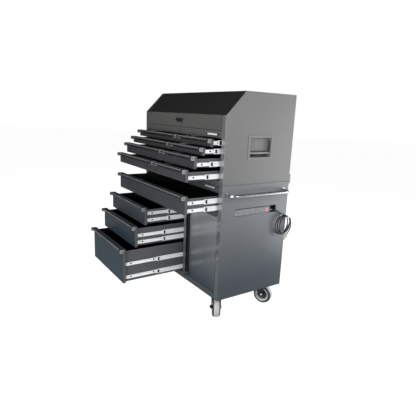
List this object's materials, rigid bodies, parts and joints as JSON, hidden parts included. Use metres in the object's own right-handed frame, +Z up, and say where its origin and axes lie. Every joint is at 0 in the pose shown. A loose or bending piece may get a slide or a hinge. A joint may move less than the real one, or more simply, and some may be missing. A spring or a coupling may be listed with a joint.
{
  "type": "tool chest and cabinet combo",
  "caption": "Steel tool chest with a sloping lid on a rolling drawer cabinet, with telescopic drawers, a side door, a push handle, a power strip with its cord and swivel casters.",
  "frame": {"origin": "on the floor, under the middle of the cabinet's plan", "axes": "+Z up, -Y towards the drawers' fronts, +X to the right of someone facing them"},
  "size_m": [1.0697, 1.0064, 1.395],
  "materials": {
    "graphite_paint": "semi-gloss powder coat",
    "front_paint": "semi-gloss powder coat",
    "black_paint": "semi-gloss powder coat",
    "zinc_steel": "bright zinc plate",
    "bright_steel": "bright",
    "handle_paint": "gloss",
    "dark_plastic": "satin",
    "grey_plastic": "satin",
    "red_plastic": "gloss",
    "cord_rubber": "satin",
    "fork_steel": "satin",
    "wheel_rubber": "satin"
  },
  "bodies": {
    "carcass": {"cabinet_floor": "graphite_paint", "cabinet_left_side": "graphite_paint", "cabinet_right_side": "graphite_paint", "cabinet_back": "graphite_paint", "cabinet_top": "graphite_paint", "cabinet_front_rails": "graphite_paint", "cabinet_divider": "graphite_paint", "chest_floors": "graphite_paint", "chest_left_side": "graphite_paint", "chest_right_side": "graphite_paint", "chest_back": "graphite_paint", "chest_front_frame": "graphite_paint", "joining_plates": "bright_steel", "slide_rails": "zinc_steel", "hinge_pins": "bright_steel", "push_handle": "handle_paint", "handle_dishes": "dark_plastic", "power_strip": "grey_plastic", "cord_hook": "zinc_steel", "cord_lead": "cord_rubber", "cord_hank": "cord_rubber", "cord_plug": "grey_plastic", "caster_brackets": "fork_steel"},
    "left_carry_handle": {"left_carry_handle": "handle_paint"},
    "right_carry_handle": {"right_carry_handle": "handle_paint"},
    "power_switch": {"power_switch": "red_plastic"},
    "lid": {"lid": "black_paint"},
    "chest_lock": {"chest_lock": "bright_steel"},
    "door": {"door": "graphite_paint"},
    "front_caster_fork": {"front_caster_fork": "fork_steel"},
    "rear_caster_fork": {"rear_caster_fork": "fork_steel"},
    "brake_lever": {"brake_lever": "dark_plastic"},
    "front_right_wheel": {"front_right_wheel": "wheel_rubber"},
    "rear_right_wheel": {"rear_right_wheel": "wheel_rubber"},
    "front_left_wheel": {"front_left_wheel": "wheel_rubber"},
    "rear_left_wheel": {"rear_left_wheel": "wheel_rubber"},
    "chest_left_1_drawer": {"chest_left_1_drawer": "front_paint"},
    "chest_left_2_drawer": {"chest_left_2_drawer": "front_paint"},
    "chest_left_3_drawer": {"chest_left_3_drawer": "front_paint"},
    "chest_left_4_drawer": {"chest_left_4_drawer": "front_paint"},
    "chest_right_1_drawer": {"chest_right_1_drawer": "front_paint"},
    "chest_right_2_drawer": {"chest_right_2_drawer": "front_paint"},
    "chest_right_3_drawer": {"chest_right_3_drawer": "front_paint"},
    "chest_right_4_drawer": {"chest_right_4_drawer": "front_paint"},
    "cabinet_wide_drawer": {"cabinet_wide_drawer": "front_paint"},
    "cabinet_upper_drawer": {"cabinet_upper_drawer": "front_paint"},
    "cabinet_middle_drawer": {"cabinet_middle_drawer": "front_paint"},
    "cabinet_lower_drawer": {"cabinet_lower_drawer": "front_paint"},
    "chest_left_1_mid_slides": {"chest_left_1_mid_slides": "zinc_steel"},
    "chest_left_2_mid_slides": {"chest_left_2_mid_slides": "zinc_steel"},
    "chest_left_3_mid_slides": {"chest_left_3_mid_slides": "zinc_steel"},
    "chest_left_4_mid_slides": {"chest_left_4_mid_slides": "zinc_steel"},
    "chest_right_1_mid_slides": {"chest_right_1_mid_slides": "zinc_steel"},
    "chest_right_2_mid_slides": {"chest_right_2_mid_slides": "zinc_steel"},
    "chest_right_3_mid_slides": {"chest_right_3_mid_slides": "zinc_steel"},
    "chest_right_4_mid_slides": {"chest_right_4_mid_slides": "zinc_steel"},
    "cabinet_wide_mid_slides": {"cabinet_wide_mid_slides": "zinc_steel"},
    "cabinet_upper_mid_slides": {"cabinet_upper_mid_slides": "zinc_steel"},
    "cabinet_middle_mid_slides": {"cabinet_middle_mid_slides": "zinc_steel"},
    "cabinet_lower_mid_slides": {"cabinet_lower_mid_slides": "zinc_steel"}
  },
  "joints": [
    {"name": "chest_left_1_slide", "type": "slide", "parent": "carcass", "child": "chest_left_1_drawer", "axis": [0, -1, 0], "range_m": [-0.068, 0.402]},
    {"name": "chest_left_1_mid_travel", "type": "slide", "parent": "carcass", "child": "chest_left_1_mid_slides", "axis": [0, -1, 0], "range_m": [-0.034, 0.201]},
    {"name": "chest_left_2_slide", "type": "slide", "parent": "carcass", "child": "chest_left_2_drawer", "axis": [0, -1, 0], "range_m": [-0.12, 0.35]},
    {"name": "chest_left_2_mid_travel", "type": "slide", "parent": "carcass", "child": "chest_left_2_mid_slides", "axis": [0, -1, 0], "range_m": [-0.06, 0.175]},
    {"name": "chest_left_3_slide", "type": "slide", "parent": "carcass", "child": "chest_left_3_drawer", "axis": [0, -1, 0], "range_m": [-0.172, 0.298]},
    {"name": "chest_left_3_mid_travel", "type": "slide", "parent": "carcass", "child": "chest_left_3_mid_slides", "axis": [0, -1, 0], "range_m": [-0.086, 0.149]},
    {"name": "chest_left_4_slide", "type": "slide", "parent": "carcass", "child": "chest_left_4_drawer", "axis": [0, -1, 0], "range_m": [-0.224, 0.246]},
    {"name": "chest_left_4_mid_travel", "type": "slide", "parent": "carcass", "child": "chest_left_4_mid_slides", "axis": [0, -1, 0], "range_m": [-0.112, 0.123]},
    {"name": "chest_right_1_slide", "type": "slide", "parent": "carcass", "child": "chest_right_1_drawer", "axis": [0, -1, 0], "range_m": [-0.068, 0.402]},
    {"name": "chest_right_1_mid_travel", "type": "slide", "parent": "carcass", "child": "chest_right_1_mid_slides", "axis": [0, -1, 0], "range_m": [-0.034, 0.201]},
    {"name": "chest_right_2_slide", "type": "slide", "parent": "carcass", "child": "chest_right_2_drawer", "axis": [0, -1, 0], "range_m": [-0.12, 0.35]},
    {"name": "chest_right_2_mid_travel", "type": "slide", "parent": "carcass", "child": "chest_right_2_mid_slides", "axis": [0, -1, 0], "range_m": [-0.06, 0.175]},
    {"name": "chest_right_3_slide", "type": "slide", "parent": "carcass", "child": "chest_right_3_drawer", "axis": [0, -1, 0], "range_m": [-0.172, 0.298]},
    {"name": "chest_right_3_mid_travel", "type": "slide", "parent": "carcass", "child": "chest_right_3_mid_slides", "axis": [0, -1, 0], "range_m": [-0.086, 0.149]},
    {"name": "chest_right_4_slide", "type": "slide", "parent": "carcass", "child": "chest_right_4_drawer", "axis": [0, -1, 0], "range_m": [-0.224, 0.246]},
    {"name": "chest_right_4_mid_travel", "type": "slide", "parent": "carcass", "child": "chest_right_4_mid_slides", "axis": [0, -1, 0], "range_m": [-0.112, 0.123]},
    {"name": "cabinet_wide_slide", "type": "slide", "parent": "carcass", "child": "cabinet_wide_drawer", "axis": [0, -1, 0], "range_m": [-0.224, 0.246]},
    {"name": "cabinet_wide_mid_travel", "type": "slide", "parent": "carcass", "child": "cabinet_wide_mid_slides", "axis": [0, -1, 0], "range_m": [-0.112, 0.123]},
    {"name": "cabinet_upper_slide", "type": "slide", "parent": "carcass", "child": "cabinet_upper_drawer", "axis": [0, -1, 0], "range_m": [-0.285, 0.185]},
    {"name": "cabinet_upper_mid_travel", "type": "slide", "parent": "carcass", "child": "cabinet_upper_mid_slides", "axis": [0, -1, 0], "range_m": [-0.1425, 0.0925]},
    {"name": "cabinet_middle_slide", "type": "slide", "parent": "carcass", "child": "cabinet_middle_drawer", "axis": [0, -1, 0], "range_m": [-0.35, 0.12]},
    {"name": "cabinet_middle_mid_travel", "type": "slide", "parent": "carcass", "child": "cabinet_middle_mid_slides", "axis": [0, -1, 0], "range_m": [-0.175, 0.06]},
    {"name": "cabinet_lower_slide", "type": "slide", "parent": "carcass", "child": "cabinet_lower_drawer", "axis": [0, -1, 0], "range_m": [-0.43, 0.04]},
    {"name": "cabinet_lower_mid_travel", "type": "slide", "parent": "carcass", "child": "cabinet_lower_mid_slides", "axis": [0, -1, 0], "range_m": [-0.215, 0.02]},
    {"name": "lid_hinge", "type": "hinge", "parent": "carcass", "child": "lid", "pos_m": [0, 0.267, 1.3905], "axis": [-1, 0, 0], "range_deg": [0, 85]},
    {"name": "door_hinge", "type": "hinge", "parent": "carcass", "child": "door", "pos_m": [0.453, -0.2565, 0.437], "axis": [0, 0, 1], "range_deg": [0, 110]},
    {"name": "lock_turn", "type": "hinge", "parent": "carcass", "child": "chest_lock", "pos_m": [0, -0.2625, 1.153], "axis": [0, -1, 0], "range_deg": [0, 90]},
    {"name": "switch_rock", "type": "hinge", "parent": "carcass", "child": "power_switch", "pos_m": [0.493, 0.0965, 0.6943], "axis": [0, 0, 1], "range_deg": [-14, 0]},
    {"name": "right_handle_swing", "type": "hinge", "parent": "carcass", "child": "right_carry_handle", "pos_m": [0.487, 0.0015, 1.1155], "axis": [0, -1, 0], "range_deg": [0, 90]},
    {"name": "left_handle_swing", "type": "hinge", "parent": "carcass", "child": "left_carry_handle", "pos_m": [-0.487, 0.0015, 1.1155], "axis": [0, 1, 0], "range_deg": [0, 90]},
    {"name": "front_swivel", "type": "hinge", "parent": "carcass", "child": "front_caster_fork", "pos_m": [0.384, -0.1825, 0], "axis": [0, 0, 1], "continuous": true},
    {"name": "front_right_roll", "type": "hinge", "parent": "front_caster_fork", "child": "front_right_wheel", "pos_m": [0.41283, -0.20052, 0.063], "axis": [0.5299, 0.848, 0], "continuous": true},
    {"name": "front_left_roll", "type": "hinge", "parent": "carcass", "child": "front_left_wheel", "pos_m": [-0.384, -0.1825, 0.063], "axis": [0, 1, 0], "continuous": true},
    {"name": "brake_press", "type": "hinge", "parent": "front_caster_fork", "child": "brake_lever", "pos_m": [0.41283, -0.20052, 0.063], "axis": [0.5299, 0.848, 0], "range_deg": [0, 18]},
    {"name": "rear_swivel", "type": "hinge", "parent": "carcass", "child": "rear_caster_fork", "pos_m": [0.384, 0.1825, 0], "axis": [0, 0, 1], "continuous": true},
    {"name": "rear_right_roll", "type": "hinge", "parent": "rear_caster_fork", "child": "rear_right_wheel", "pos_m": [0.41456, 0.1974, 0.063], "axis": [-0.4384, 0.8988, 0], "continuous": true},
    {"name": "rear_left_roll", "type": "hinge", "parent": "carcass", "child": "rear_left_wheel", "pos_m": [-0.384, 0.1825, 0.063], "axis": [0, 1, 0], "continuous": true}
  ],
  "couplings": [
    {"joint": "chest_left_1_mid_travel", "follows": "chest_left_1_slide", "ratio": 0.5},
    {"joint": "chest_left_2_mid_travel", "follows": "chest_left_2_slide", "ratio": 0.5},
    {"joint": "chest_left_3_mid_travel", "follows": "chest_left_3_slide", "ratio": 0.5},
    {"joint": "chest_left_4_mid_travel", "follows": "chest_left_4_slide", "ratio": 0.5},
    {"joint": "chest_right_1_mid_travel", "follows": "chest_right_1_slide", "ratio": 0.5},
    {"joint": "chest_right_2_mid_travel", "follows": "chest_right_2_slide", "ratio": 0.5},
    {"joint": "chest_right_3_mid_travel", "follows": "chest_right_3_slide", "ratio": 0.5},
    {"joint": "chest_right_4_mid_travel", "follows": "chest_right_4_slide", "ratio": 0.5},
    {"joint": "cabinet_wide_mid_travel", "follows": "cabinet_wide_slide", "ratio": 0.5},
    {"joint": "cabinet_upper_mid_travel", "follows": "cabinet_upper_slide", "ratio": 0.5},
    {"joint": "cabinet_middle_mid_travel", "follows": "cabinet_middle_slide", "ratio": 0.5},
    {"joint": "cabinet_lower_mid_travel", "follows": "cabinet_lower_slide", "ratio": 0.5}
  ]
}
